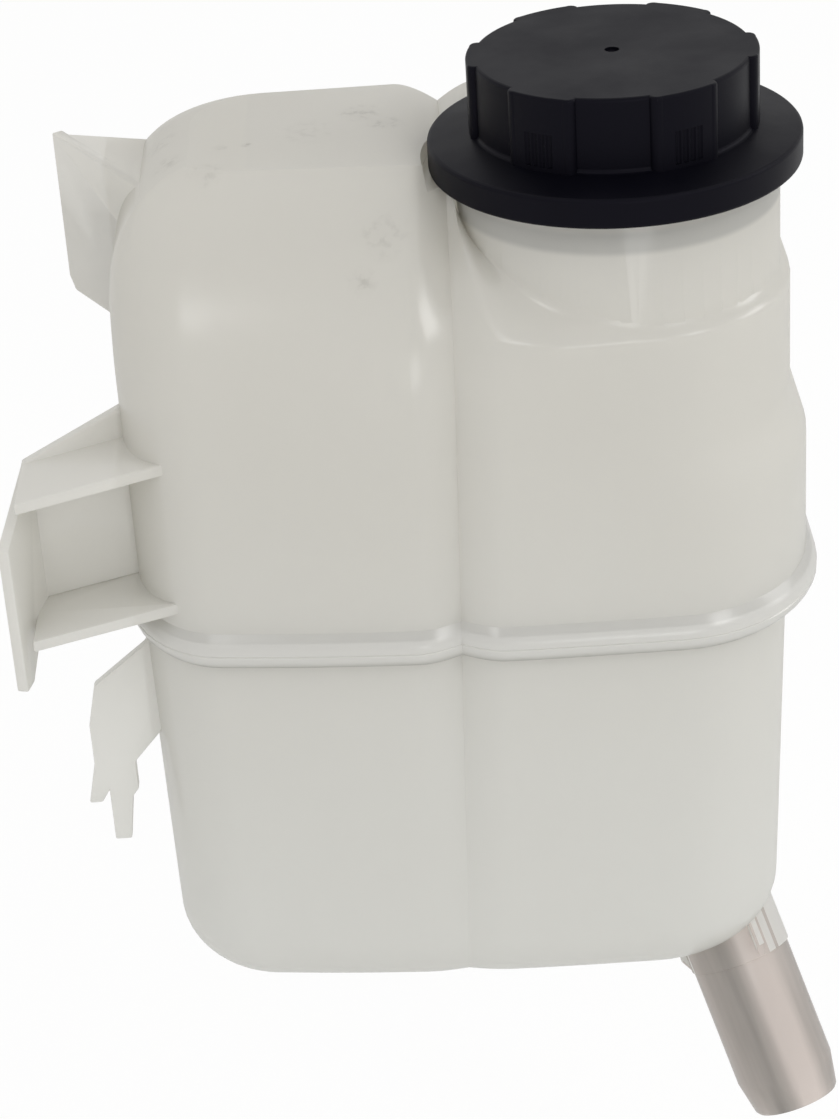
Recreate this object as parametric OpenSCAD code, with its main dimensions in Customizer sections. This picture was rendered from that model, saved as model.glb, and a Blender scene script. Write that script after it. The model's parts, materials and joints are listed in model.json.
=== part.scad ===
// Coolant expansion tank with two lobes, a screw cap and a valve insert.
// Two moulded half shells are welded at a rim. The origin is the middle of the
// side bracket's pocket, +Z is up, +X runs along the front face to the outlet.

/* [Position] */
// Filler neck axis to the right of the bracket pocket
neck_x = 115; // [112:1:120]
// Filler neck axis behind the bracket pocket
neck_y = 17; // [14:1:20]
// Lower edge of the cap above the bracket pocket
neck_z = 71.5; // [66:0.5:78]

/* [Tank body] */
// Left end of the tank from the neck axis
left_reach = 105; // [102:1:112]
// Right end of the tank from the neck axis
right_reach = 38.4; // [37.6:0.2:42]
// Front face from the neck axis
front_reach = 35; // [34:0.5:38]
// Back face from the neck axis
back_reach = 48; // [44:1:60]
// Top face above the cap's lower edge
top_rise = 3.3; // [2:0.1:5]
// Weld plane below the cap's lower edge
seam_drop = 92.4; // [86:0.2:100]
// Base below the weld plane
base_drop = 94; // [86:0.5:106]
// Wall thickness of both shells
wall = 2.6; // [2:0.1:3.2]
// How far the front face falls back at its left end
front_sweep = 8; // [4:0.5:10]
// Height of the sloping front shoulder
dome_height = 41; // [34:1:46]
// How far the shoulder of the left lobe leans back
dome_left = 29; // [26:1:36]
// How far the shoulder under the neck leans back
dome_right = 62; // [55:1:66]
// Height of the rounded left end
arch_left_height = 30; // [26:1:38]
// Width of the rounded left end
arch_left_width = 24; // [20:1:28]
// Ledge of the right lobe, where the neck comes out, below the cap's lower edge
ledge_drop = 25; // [22:0.5:30]
// How far the right end comes in above its ledge
ledge_width = 29; // [26:1:32]
// Length along X of the front right corner
corner_right_x = 30; // [26:1:34]
// Length along Y of the front right corner
corner_right_y = 33; // [28:1:38]
// Extra length of that corner above the side bulge
bulge_extra = 2; // [0:1:12]
// Step out of the right end at its side bulge
bulge_out = 3.2; // [1:0.2:3.8]
// Side bulge below the cap's lower edge
bulge_drop = 60; // [56:1:66]
// Front left corner
corner_left = 17; // [12:1:20]
// Back left corner
corner_back = 16; // [10:1:20]
// Back right corner
corner_back_right = 24; // [14:1:26]
// Rounding of the top edge at the back
back_round = 9; // [4:1:14]

/* [Valley between the lobes] */
// Valley left of the neck axis at the top
valley_x = 34.6; // [32:0.2:37]
// Lean of the valley to the left, millimetres for each millimetre down
valley_lean = 0.029; // [0:0.001:0.04]
// Depth of the valley at the weld and below
valley_low = 3.6; // [2:0.2:5]
// Extra depth of the valley beside the neck
valley_high = 3; // [1:0.5:8]
// Height above the weld where the valley starts to deepen
valley_foot = 66; // [58:1:70]
// Height over which the valley deepens
valley_growth = 22; // [16:1:30]
// Half width of the valley
valley_half = 9; // [7:0.5:11]
// Dip of the top face in the valley
valley_dip = 3; // [1:0.5:4]

/* [Lower shell] */
// Step in of the lower shell at the right end
low_right_step = 5; // [3:0.2:7]
// Step in of the lower shell at the front
low_front_step = 1.4; // [0.6:0.2:3]
// Draft of the right end over the depth of the shell
low_right_draft = 2.4; // [1:0.2:4]
// Draft of the other sides over the depth of the shell
low_draft = 1.4; // [0.6:0.2:3]
// Rounding of the base edge
base_round = 18; // [14:1:22]
// Share of the valley's depth that is lost toward the base
valley_fade = 0.7; // [0:0.1:0.9]
// Fall of the base toward the outlet
base_fall = 0.4; // [0:0.2:3]

/* [Weld rim] */
// Width of the rim outside the wall
rim_out = 2.4; // [2:0.1:4]
// Thickness of the upper half of the rim
rim_up = 3; // [2:0.1:4]
// Thickness of the lower half of the rim
rim_low = 2.3; // [1.6:0.1:4]

/* [Filler neck] */
// Radius of the wide shoulder under the cap
shoulder_r = 33.2; // [32:0.2:34]
// Top of the shoulder above the cap's lower edge
shoulder_rise = 1.4; // [0.8:0.1:1.6]
// Bore radius of the filler neck
neck_bore_r = 20.5; // [20:0.1:21]
// Outer radius of the filler neck
neck_r = 23.4; // [23:0.1:24]
// Top of the filler neck above the cap's lower edge
neck_top = 15; // [14:0.5:16]
// Length of the neck tube inside the tank, below the cap's lower edge
neck_skirt = 8; // [5:0.5:12]
// Room between the tank and the cap flange
cap_room = 1.5; // [1:0.1:3]
// Room around the raised land inside the cap flange
land_room = 3; // [2:0.1:4]

/* [Thread] */
// Pitch of the thread
pitch = 4; // [3:0.5:5]
// Turns of the thread
turns = 1.5; // [1:0.25:1.75]
// Height of the thread crest over its root
thread_h = 1.6; // [1.2:0.1:1.8]
// Running clearance between the threads
thread_gap = 0.4; // [0.3:0.05:0.6]

/* [Cap] */
// Radius of the cap flange
flange_r = 37.8; // [36:0.2:39]
// Height of the flange rim
flange_rim = 6; // [5:0.2:7]
// Rise of the flange top toward the grip
flange_slope = 1.7; // [1:0.1:2.5]
// Wall of the flange rim
flange_wall = 2; // [1.6:0.1:2.4]
// Radius of the grip between its ribs
grip_r = 28; // [27.8:0.2:30]
// Top of the cap above its lower edge
cap_height = 22.7; // [22:0.1:26]
// Thickness of the cap's top
cap_top = 2.5; // [2:0.1:3]
// Number of grip ribs
rib_count = 12; // [8:1:16]
// Radius of a grip rib
rib_r = 1.7; // [1.2:0.1:2]
// Step from the cap's top down to the ends of the ribs
rib_stop = 0.3; // [0.1:0.1:1]
// Number of fine flutes in a fluted panel
flute_count = 4; // [2:1:5]
// Angle between two flutes
flute_step = 3.2; // [2.6:0.2:3.8]
// Radius of a flute
flute_r = 0.7; // [0.5:0.1:0.8]
// Chamfer of the flange's upper edge
flange_edge = 0.7; // [0.4:0.1:1.2]
// Chamfer of the grip's top edge
cap_chamfer = 1; // [0.5:0.1:1.5]
// Radius of the dimple in the cap's top
dimple_r = 1.5; // [0.8:0.1:2.2]
// Depth of that dimple
dimple_deep = 1; // [0.4:0.1:1.2]

/* [Valve insert] */
// Radius of the insert's upper flange
insert_flange_r = 19.8; // [19.4:0.1:20]
// Radius of the insert's land that guides it in the neck bore
insert_r = 20.1; // [19.8:0.1:20.2]
// Overlap of the cap's lip under the insert's flange
lip_hold = 1.3; // [0.9:0.1:1.6]
// Thickness of the cap's lip
lip_t = 0.8; // [0.6:0.1:1.2]
// Thickness of the insert's flange
insert_flange_t = 1.6; // [1.2:0.1:2]
// Radius of the valve chamber
chamber_r = 15; // [14:0.5:16]
// Underside of the insert below the cap's lower edge
insert_drop = 2; // [1:0.5:4]
// Thickness of the insert's floor
floor_t = 3; // [2:0.5:3.5]
// Thickness of the sealing ring's section
ring_d = 2.8; // [2.4:0.1:3]
// Clearance of the sealing ring in the neck bore
ring_gap = 0.08; // [0.05:0.01:0.1]
// Radius of the valve seat opening
seat_r = 8; // [7:0.5:9]
// Radius of the pressure valve plate
plate_r = 11; // [10:0.5:12]
// Thickness of the pressure valve plate
plate_t = 1.6; // [1:0.1:2]
// Radius of a vent in the retainer disc
vent_r = 1.7; // [1:0.1:2]
// Thickness of the flat seal under the plate
seal_t = 1.2; // [0.8:0.1:1.6]
// Thickness of the retainer disc
lid_t = 2; // [1.4:0.1:2.4]
// Room for the pressure spring over the plate
spring_room = 10.3; // [9:0.1:11]
// Radius of the pressure spring's wire
pressure_wire_r = 0.35; // [0.3:0.05:0.6]
// Radius of the vacuum spring's wire
vacuum_wire_r = 0.25; // [0.2:0.05:0.3]
// Length of the vacuum spring
vacuum_spring_len = 4; // [3.5:0.1:4.5]
// Thickness of the vacuum valve's disc
vacuum_t = 1; // [0.8:0.1:1.1]
// Thickness of the clip on the vacuum valve's stem
clip_t = 1; // [0.8:0.1:1.2]
// Radius of the vacuum valve disc
vacuum_r = 5; // [4:0.5:5.5]
// Radius of the vacuum valve stem
stem_r = 1.6; // [1.2:0.1:2]
// Clearance of sliding and seated pieces
fit_gap = 0.3; // [0.2:0.05:0.4]

/* [Outlet spigot] */
// Outer radius of the outlet spigot
spigot_r = 11.4; // [9.5:0.1:12]
// Bore radius of the outlet spigot
spigot_bore_r = 8.6; // [7:0.1:9]
// Length of the spigot from its root
spigot_len = 55; // [50:1:64]
// Length of the tapered lead at the spigot's end
spigot_lead = 8; // [5:0.5:10]
// Radius lost along the tapered lead
spigot_taper = 1.6; // [0.8:0.1:2]
// Step at the end of the spigot's root, where the hose stops
spigot_step = 0.4; // [0.2:0.1:1]
// Lean of the spigot toward the front
spigot_front = 24.7; // [16:0.1:28]
// Lean of the spigot to the right
spigot_side = 19.6; // [12:0.1:22]
// Root of the spigot to the right of the neck axis
spigot_x = 17; // [12:0.2:19]
// Root of the spigot in front of the neck axis
spigot_y = 3; // [0:0.2:6]
// Root of the spigot above the base
spigot_up = 9; // [7:0.5:12]
// Number of ribs around the spigot's root
gusset_count = 3; // [2:1:6]
// Thickness of these ribs
gusset_t = 2; // [1.4:0.1:3]
// Height of these ribs over the spigot
gusset_out = 1.8; // [1:0.1:3]
// Length of these ribs from the root
gusset_len = 19; // [12:1:24]

/* [Brackets] */
// Thickness of brackets, fin and hook
plate = 2.6; // [2:0.1:3.2]
// Depth of the bracket pocket front to back
pocket_depth = 18; // [15:1:21]
// Width of the bracket pocket
pocket_w = 18.4; // [16:0.2:20]
// Height of the bracket pocket
pocket_h = 30; // [26:1:34]
// Lean of the bracket's ribs, down to the outside
rib_tilt = 12.5; // [8:0.5:16]
// Splay of the bracket's outer wall toward the front
wall_splay = 14; // [8:1:16]
// Cut at the outer wall's upper front corner
wall_cut = 11; // [6:1:14]
// Drop of the outer wall's leg below the pocket
leg_drop = 10; // [6:1:14]
// Rise of the back plate from the outer wall to the tank
back_rise = 11; // [7:1:12]
// Reach of the upper fin from the tank
fin_reach = 12.8; // [9:0.2:16]
// Top of the fin below the tank's top face
fin_drop = 6.2; // [5:0.2:10]
// Height of the upper fin at its outer edge
fin_h = 36; // [30:1:38]
// Front end of the fin's root behind the neck axis
fin_front = 3; // [0:1:8]
// Depth of the upper fin front to back
fin_depth = 40; // [34:1:42]
// Reach of the hose hook from the tank
hook_reach = 16; // [13:1:18]
// Length of the hook's arm under the weld rim
hook_arm = 33; // [28:1:38]
// Length of the hook's long prong
hook_long = 20; // [14:1:24]
// Length of the hook's short prong
hook_short = 10; // [6:1:13]
// Width of each prong
prong_w = 3.6; // [2.6:0.2:4.2]
// Hose hook in front of the neck axis
hook_y = 12; // [6:1:18]

/* [Return nipple] */
// Outer radius of the return nipple
nipple_r = 4; // [3.5:0.1:5]
// Bore radius of the return nipple
nipple_bore_r = 2.4; // [2:0.1:3]
// Length of the return nipple
nipple_len = 20; // [14:1:26]
// Length of the tapered lead at the nipple's end
nipple_lead = 3; // [2:0.5:5]
// Radius lost along that lead
nipple_taper = 0.6; // [0.3:0.1:1]
// Return nipple to the left of the neck axis
nipple_x = 66; // [50:1:80]
// Return nipple below the cap's lower edge
nipple_drop = 20; // [16:1:30]

/* [Hidden] */
$fn = 96;
// How far a cutter runs past the face it opens
over = 1;
// How far the upper shell's hollow runs past the weld plane
past_seam = 2;

tank_colour = [0.80, 0.79, 0.75];
insert_colour = [0.86, 0.85, 0.80];
black = [0.10, 0.10, 0.11];
rubber = [0.07, 0.07, 0.07];
steel = [0.62, 0.63, 0.65];
brass = [0.78, 0.62, 0.32];

// Points on a corner, on each side of the valley and on the plain stretches
K = 6;
valley_steps = [-1, -0.72, -0.48, -0.28, -0.12, 0, 0.12, 0.28, 0.48, 0.72, 1];
left_steps = [0.25, 0.5, 0.75];
right_steps = [0.34, 0.67];
// Heights of the rings as shares of each shell's height
up_levels = [0, 0.14, 0.27, 0.34, 0.4, 0.5, 0.6, 0.68, 0.75, 0.81, 0.86, 0.9, 0.935,
             0.96, 0.98, 0.993, 1];
low_levels = [0.45, 0.7, 0.88, 1];
base_angles = [12, 25, 38, 52, 66, 80, 90];

// Least length of a corner
least_corner = 3;
seam_z = -seam_drop;
base_z = seam_z - base_drop;
tank_w = left_reach + right_reach;
// The top face begins here, behind the sloping shoulder
crease_y = dome_left - front_reach - least_corner;
ledge_z = -ledge_drop;
valley_from = seam_z + valley_foot;
// Near the top the valley loses this share of its depth, below this height under the top
valley_loss = 0.55;
valley_loss_run = 15;
// Powers of the shoulder's curve, of the ledge's slope and of the valley's cross-section
dome_power = 1.7;
ledge_power = 1.2;
valley_power = 1.6;
// Fullness of the rounded ends: 2 is an ellipse, more is squarer
fullness = 2.2;
// What a rounding keeps open at the top, so that the last ring isn't a sliver
crown = 0.6;
// Height over which the right end steps out to its bulge
bulge_blend = 10;
// A point of the front face where it starts to fall back to the left
sweep_x = -11;

function clamp(v, a, b) = min(max(v, a), b);
function ease(t) = let (u = clamp(t, 0, 1)) u * u * (3 - 2 * u);
function mix(a, b, t) = a + (b - a) * t;
function sq(v) = v * v;

// How far a rounded corner has come in at u above its foot
function round_in(u, height, width) =
    u <= 0 ? 0 : width * (1 - pow(max(0, 1 - pow(min(u, height) / height, fullness)), 1 / fullness));
// How far a face that starts to lean in at a foot has come in at z
function lean_in(z, foot, depth, power) = depth * pow(max(0, z - foot) / (top_rise - foot), power);

function valley_at(z) = -valley_x + valley_lean * z;
function valley_depth(z) =
    (valley_low + valley_high * ease((z - valley_from) / valley_growth))
    * (1 - valley_loss * ease((z - top_rise + valley_loss_run) / valley_loss_run));
function notch(x, xv) = pow(max(0, 1 - abs(x - xv) / valley_half), valley_power);
function sweep(x) = front_sweep * sq(max(0, sweep_x - x) / (left_reach + sweep_x));

// Points from left to right along the front (side = 1) or the back (side = -1).
// cl and cr are the [x, y] lengths of the left and right corner.
function chain(side, xl, xr, y, cl, cr, xv) = concat(
    [for (i = [0:K]) let (a = 90 * i / K)
        [xl + cl[0] * (1 - cos(a)), y + side * cl[1] * (1 - sin(a))]],
    [for (s = left_steps) [mix(xl + cl[0], xv - valley_half, s), y]],
    [for (s = valley_steps) [xv + valley_half * s, y]],
    [for (s = right_steps) [mix(xv + valley_half, xr - cr[0], s), y]],
    [for (i = [0:K]) let (a = 90 * i / K)
        [xr - cr[0] * (1 - sin(a)), y + side * cr[1] * (1 - cos(a))]]);

// A horizontal ring: the front from left to right, then the back from right to left
function ring(front, back) =
    concat(front, [for (i = [len(back) - 1:-1:0]) back[i]]);

// Ring of the upper shell at height z, moved in by t
function upper_ring(z, t) = let (
    left_foot = top_rise - arch_left_height,
    xl = -left_reach + t + round_in(z - left_foot, arch_left_height + crown, arch_left_width),
    xr = right_reach - t - lean_in(z, ledge_z, ledge_width, ledge_power)
        - bulge_out * ease((z + bulge_drop) / bulge_blend),
    yf = -front_reach + t,
    yb = back_reach - t - round_in(z - top_rise + back_round, back_round + crown / 2, back_round),
    xv = valley_at(z),
    dl = lean_in(z, top_rise - dome_height, dome_left, dome_power),
    dr = lean_in(z, ledge_z, dome_right, ledge_power),
    cb = max(least_corner, corner_back - t),
    cbr = max(least_corner, corner_back_right - t),
    room_l = crease_y - yf - dl,
    room_r = yb - yf - dr - cbr,
    grow = bulge_extra * ease((z + bulge_drop + least_corner) / bulge_blend),
    cl = [corner_left - t, clamp(room_l, least_corner, 1.3 * corner_left - t)],
    cr = [clamp(xr - xv - valley_half - least_corner, least_corner, corner_right_x + grow - t),
          clamp(room_r - wall, least_corner, corner_right_y + grow - t)],
    front = chain(1, xl, xr, yf, cl, cr, xv),
    back = chain(-1, xl, xr, yb, [cb, cb], [min(cbr, cr[0]), cbr], xv),
    dip = valley_dip * ease((z - top_rise + back_round) / back_round))
    ring([for (p = front) let (n = notch(p[0], xv))
            [p[0], p[1] + sweep(p[0]) + valley_depth(z) * n
                + mix(dl, dr, ease((p[0] - xv + valley_half) / (2 * valley_half))),
             z - dip * n]],
         [for (p = back) let (n = notch(p[0], xv))
            [p[0], p[1] - valley_low * n, z - dip * n]]);

// Ring of the lower shell at height z, moved in by t and by the base rounding b
function lower_ring(z, t, b) = let (
    u = (seam_z - z) / base_drop,
    xl = -left_reach + low_draft * u + t + b,
    xr = right_reach - low_right_step - low_right_draft * u - t - b,
    yf = -front_reach + low_front_step + low_draft * u + t + b,
    yb = back_reach - low_front_step - low_draft * u - t - b,
    xv = valley_at(z),
    cl = max(least_corner, corner_left - t - b / 2),
    cr = max(least_corner, corner_right_x - low_right_step - t - b / 2),
    cb = max(least_corner, corner_back - t - b / 2),
    cbr = max(least_corner, corner_back_right - low_right_step - t - b / 2),
    low = valley_low * (1 - valley_fade * u),
    front = chain(1, xl, xr, yf, [cl, cl], [cr, cr], xv),
    back = chain(-1, xl, xr, yb, [cb, cb], [cbr, cbr], xv))
    ring([for (p = front) [p[0], p[1] + sweep(p[0]) + low * notch(p[0], xv),
                           z - base_fall * u * (p[0] + left_reach) / tank_w]],
         [for (p = back) [p[0], p[1] - low * notch(p[0], xv),
                          z - base_fall * u * (p[0] + left_reach) / tank_w]]);

// Closed skin over a stack of rings, each with its front and back chain
module skin(rings) {
    n = len(rings[0]);
    m = n / 2;
    top = (len(rings) - 1) * n;
    polyhedron(
        points = [for (r = rings) for (p = r) p],
        faces = concat(
            [for (k = [0:len(rings) - 2]) for (i = [0:n - 1]) let (j = (i + 1) % n)
                [k * n + i, (k + 1) * n + i, (k + 1) * n + j]],
            [for (k = [0:len(rings) - 2]) for (i = [0:n - 1]) let (j = (i + 1) % n)
                [k * n + i, (k + 1) * n + j, k * n + j]],
            [for (i = [0:m - 2]) [top + i, top + n - 1 - i, top + n - 2 - i]],
            [for (i = [0:m - 2]) [top + i, top + n - 2 - i, top + i + 1]],
            [for (i = [0:m - 2]) [i, n - 2 - i, n - 1 - i]],
            [for (i = [0:m - 2]) [i, i + 1, n - 2 - i]]));
}

function up_z(level) = mix(seam_z, top_rise, level);
function flat(r) = [for (p = r) [p[0], p[1]]];
upper_outer = [for (l = up_levels) upper_ring(up_z(l), 0)];
upper_inner = concat(
    [[for (p = upper_ring(seam_z, wall)) [p[0], p[1], seam_z - past_seam]]],
    [for (l = up_levels) if (l > 0)
        [for (p = upper_ring(up_z(l), wall)) [p[0], p[1], p[2] - wall]]]);

function low_outer(t) = concat(
    [for (a = base_angles)
        lower_ring(base_z + base_round * (1 - cos(a)), t, base_round * (1 - sin(a)))],
    [for (l = low_levels)
        lower_ring(mix(base_z + base_round, seam_z, l), t, 0)]);
lower_inner = [for (r = low_outer(wall)) [for (p = r) [p[0], p[1], p[2] + wall]]];

rim_outline = flat(upper_ring(seam_z, -rim_out));

// Radii and heights that several pieces share
crest_r = neck_r + thread_h;
cap_inner_r = crest_r + thread_gap;
cap_crest_r = neck_r + thread_gap;
flange_under = shoulder_rise + cap_room;
land_r = flange_r - flange_wall - land_room;
grip_base = flange_rim + flange_slope;
cap_under = cap_height - cap_top;
thread_z = flange_under + 0.65 * pitch;
// Height that the cap's lip needs over the insert's land, and its room over the neck
lip_room = 3.5;
lip_over = 1;
// How far a thread's ridge is rooted in its wall
bite = 0.4;
// Half widths of a ridge at its root and at its crest, as shares of the pitch
ridge_root = 0.27;
ridge_crest = 0.13;
spring_turns = 4;
insert_body_r = insert_flange_r - lip_hold;
lip_z = neck_top + lip_over;
insert_flange_z = lip_z + lip_t + fit_gap;
insert_top = insert_flange_z + insert_flange_t;
land_top = lip_z - lip_room;
ring_mid_r = neck_bore_r - ring_gap - ring_d / 2;
ring_z = land_top - 1.5 * ring_d;
groove_gap = fit_gap / 6;
floor_top = floor_t - insert_drop;
plate_z = floor_top + seal_t;
plate_top = plate_z + plate_t;
vacuum_z = plate_z - fit_gap / 3 - vacuum_t;
lid_z = plate_top + spring_room;
lid_r = chamber_r + 3 * fit_gap;
clip_z = plate_top + vacuum_spring_len;
// Foot of the neck's shoulder inside the tank's outline
neck_root = 45;
// How far the spigot's bore runs up into the tank
bore_run = 6;
// How far brackets run into a wall before the hollow is cut
sink = 10;
// Share of the fin's upper edge after which its lower edge meets the tank
fin_sink = 0.62;

// Ridge of a thread: root and crest radius, height of its first turn
module ridge(root, crest, z0) {
    steps = 24;
    last = floor(turns * steps);
    half_root = ridge_root * pitch;
    half_crest = ridge_crest * pitch;
    pts = [for (i = [0:last]) let (a = 360 * i / steps, z = z0 + pitch * i / steps)
        each [[root * cos(a), root * sin(a), z - half_root],
              [crest * cos(a), crest * sin(a), z - half_crest],
              [crest * cos(a), crest * sin(a), z + half_crest],
              [root * cos(a), root * sin(a), z + half_root]]];
    out = crest > root;
    turn = out ? [0, 1, 2, 3] : [3, 2, 1, 0];
    polyhedron(points = pts, faces = concat(
        [for (i = [0:last - 1]) for (k = [0:3]) let (a = turn[k], b = turn[(k + 1) % 4])
            [4 * i + a, 4 * i + b, 4 * i + 4 + b]],
        [for (i = [0:last - 1]) for (k = [0:3]) let (a = turn[k], b = turn[(k + 1) % 4])
            [4 * i + a, 4 * i + 4 + b, 4 * i + 4 + a]],
        [[for (k = [3:-1:0]) turn[k]], [for (k = turn) 4 * last + k]]));
}

// Coil spring between two heights, with its wire's radius
module coil(mean_r, wire_r, z0, z1, count) {
    sides = 6;
    steps = 16;
    last = count * steps;
    rise = (z1 - z0 - 2 * wire_r) / last;
    pts = [for (i = [0:last]) let (a = 360 * i / steps) for (k = [0:sides - 1])
        let (b = 360 * k / sides, r = mean_r + wire_r * cos(b))
        [r * cos(a), r * sin(a), z0 + wire_r + rise * i + wire_r * sin(b)]];
    polyhedron(points = pts, faces = concat(
        [for (i = [0:last - 1]) for (k = [0:sides - 1]) let (m = (k + 1) % sides)
            [i * sides + k, i * sides + m, (i + 1) * sides + m]],
        [for (i = [0:last - 1]) for (k = [0:sides - 1]) let (m = (k + 1) % sides)
            [i * sides + k, (i + 1) * sides + m, (i + 1) * sides + k]],
        [[for (k = [sides - 1:-1:0]) k], [for (k = [0:sides - 1]) last * sides + k]]));
}

// Flat or slightly warped plate from its outline, thickened along v
module sheet(pts, v) {
    n = len(pts);
    polyhedron(
        points = concat(pts, [for (p = pts) p + v]),
        faces = concat(
            [for (i = [1:n - 2]) [0, i, i + 1]],
            [for (i = [1:n - 2]) [n, n + i + 1, n + i]],
            [for (i = [0:n - 1]) let (j = (i + 1) % n) [i, n + i, n + j]],
            [for (i = [0:n - 1]) let (j = (i + 1) % n) [i, n + j, j]]));
}

// Moves a shape drawn about the neck axis to its place beside the bracket
module placed() translate([neck_x, neck_y, neck_z]) children();

// Cylinder on the neck axis between two heights
module tube_z(r, z0, z1) translate([0, 0, z0]) cylinder(r = r, h = z1 - z0);

// Side of the bracket's outer wall: forward from its back edge, then height
module wall_side(depth, top, foot)
    polygon([[0, top], [depth, top - wall_cut], [depth, foot - leg_drop],
             [depth - 1.6 * plate, foot - leg_drop], [depth / 3, foot], [0, foot]]);

// Side bracket about the middle of its pocket: a back plate, two ribs and a
// splayed outer wall with a leg
module bracket() {
    left = -pocket_w / 2 - plate;
    right = neck_x - left_reach + sink;
    near = right - sink / 2;
    back = pocket_depth / 2 + plate;
    top = pocket_h / 2;
    lean = tan(rib_tilt);
    rise = lean * near;
    translate([0, back, 0]) rotate([90, 0, 0]) linear_extrude(plate)
        polygon([[left, -top - plate], [near, -top + rise],
                 [near, top + rise + back_rise], [left, top]]);
    for (z = [-top - plate, top])
        translate([0, back, 0]) rotate([90, 0, 0]) linear_extrude(pocket_depth + plate)
        polygon([[left, z + left * lean], [right, z + right * lean],
                 [right, z + right * lean + plate], [left, z + left * lean + plate]]);
    translate([left + plate, back, 0]) rotate([0, 0, -wall_splay]) rotate([90, 0, -90])
        linear_extrude(plate) wall_side(pocket_depth + plate, top, -top - 2 * plate);
}

// Upper fin: an upright web that runs back and out, with a top flange
module fin() {
    outer = -left_reach - fin_reach;
    back = fin_front + fin_depth;
    top = top_rise - fin_drop;
    foot = top - fin_h;
    tip = [outer, back, top];
    root_back = [-left_reach + sink, back - 0.2 * fin_depth, top];
    root_front = [-left_reach + sink, fin_front + plate, top];
    heel = [outer + plate / 2, back - plate, foot];
    root_low = heel + fin_sink * (root_front - tip);
    heel_tip = [outer, back, foot + plate];
    sheet([tip, root_front, root_low, heel, heel_tip], plate * [0.84, 0.54, 0]);
    sheet([root_front, tip, root_back], [0, 0, -plate]);
}

// Hose hook: an arm that hangs from the weld rim and ends in two prongs
module hook() {
    root = -left_reach + plate;
    tip = -left_reach - hook_reach;
    top = seam_z - rim_low;
    fork = top - hook_arm;
    second = tip + 1.3 * prong_w;
    inner = second + 1.8 * prong_w;
    slot = fork - 0.7 * hook_short;
    translate([0, -hook_y, 0]) rotate([90, 0, 0]) linear_extrude(plate)
        polygon([[root, top], [root - plate, top - prong_w],
                 [tip + 1.6 * plate, top - 0.4 * hook_arm],
                 [tip + 0.8 * plate, top - 0.7 * hook_arm], [tip + 0.8 * plate, fork],
                 [tip, fork - hook_short], [tip + 0.8 * prong_w, fork - hook_short],
                 [second, slot], [second, fork - hook_long],
                 [second + prong_w, fork - hook_long],
                 [second + 1.4 * prong_w, fork - 0.9 * hook_short],
                 [inner, slot], [inner, fork], [root - plate / 2, fork + 2 * prong_w],
                 [root, fork + 2.8 * prong_w]]);
}

// Moves a shape drawn along +Z to the return nipple's place on the back
module nipple_at() translate([-nipple_x, back_reach, -nipple_drop]) rotate([-90, 0, 0]) children();

// Everything that the upper shell fills, before it is hollowed
module upper_solid() {
    difference() {
        skin(upper_outer);
        tube_z(flange_r + cap_room, -cap_room, top_rise + over);
    }
    tube_z(shoulder_r, -neck_root, -cap_room);
    tube_z(land_r, -cap_room - wall, shoulder_rise);
    tube_z(neck_r, shoulder_rise - wall, neck_top);
    translate([0, 0, seam_z]) linear_extrude(rim_up) polygon(rim_outline);
    nipple_at() {
        tube_z(nipple_r, -wall, nipple_len - nipple_lead);
        translate([0, 0, nipple_len - nipple_lead])
            cylinder(r1 = nipple_r, r2 = nipple_r - nipple_taper, h = nipple_lead);
    }
    fin();
    translate([-neck_x, -neck_y, -neck_z]) bracket();
}

// The upper shell's chamber, less the room that the neck needs
module upper_hollow() {
    difference() {
        skin(upper_inner);
        tube_z(flange_r + cap_room + wall, -cap_room - wall, top_rise + over);
    }
    difference() {
        union() {
            tube_z(shoulder_r - wall, -neck_root, -cap_room - wall);
            tube_z(land_r - wall, -neck_root, shoulder_rise - wall);
        }
        tube_z(neck_r, -neck_skirt, top_rise);
    }
}

// Upper half shell with its neck, bracket, fin and return nipple
module upper_shell() color(tank_colour) placed() {
    difference() {
        upper_solid();
        difference() {
            upper_hollow();
            tube_z(neck_r, -neck_skirt, neck_top);
        }
        tube_z(neck_bore_r, -neck_skirt - over, neck_top + over);
        nipple_at() tube_z(nipple_bore_r, -3 * wall, nipple_len + over);
    }
    ridge(neck_r - bite, crest_r, thread_z);
}

// Moves a shape drawn along +Z to the outlet spigot, which runs down and forward
module spigot_at()
    translate([spigot_x, -spigot_y, base_z + spigot_up])
    rotate([-spigot_front, -spigot_side, 0]) mirror([0, 0, 1]) children();

// Lower half shell with its outlet spigot and hose hook
module lower_shell() color(tank_colour) placed() {
    difference() {
        union() {
            skin(low_outer(0));
            translate([0, 0, seam_z - rim_low]) linear_extrude(rim_low) polygon(rim_outline);
            spigot_at() tube_z(spigot_r + spigot_step, 0, gusset_len);
            spigot_at() tube_z(spigot_r, 0, spigot_len - spigot_lead);
            spigot_at() translate([0, 0, spigot_len - spigot_lead])
                cylinder(r1 = spigot_r, r2 = spigot_r - spigot_taper, h = spigot_lead);
            spigot_at() for (i = [0:gusset_count - 1]) rotate([0, 0, 60 + 360 * i / gusset_count])
                translate([0, -gusset_t / 2, 0])
                cube([spigot_r + gusset_out, gusset_t, gusset_len]);
            hook();
        }
        skin(lower_inner);
        spigot_at() tube_z(spigot_bore_r, -bore_run, spigot_len + over);
    }
}

// Groove cutters for the fluted panels, seen from the front as two on each side
module flutes() {
    middle = (flute_count - 1) / 2;
    for (panel = [-1, 1, 5, 7]) for (k = [0:flute_count - 1])
        rotate([0, 0, 360 * panel / rib_count - 90 + (k - middle) * flute_step])
        translate([grip_r + flute_r / 2, 0, 0])
        tube_z(flute_r, grip_base + flute_r, (grip_base + cap_height) / 2);
}

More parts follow.
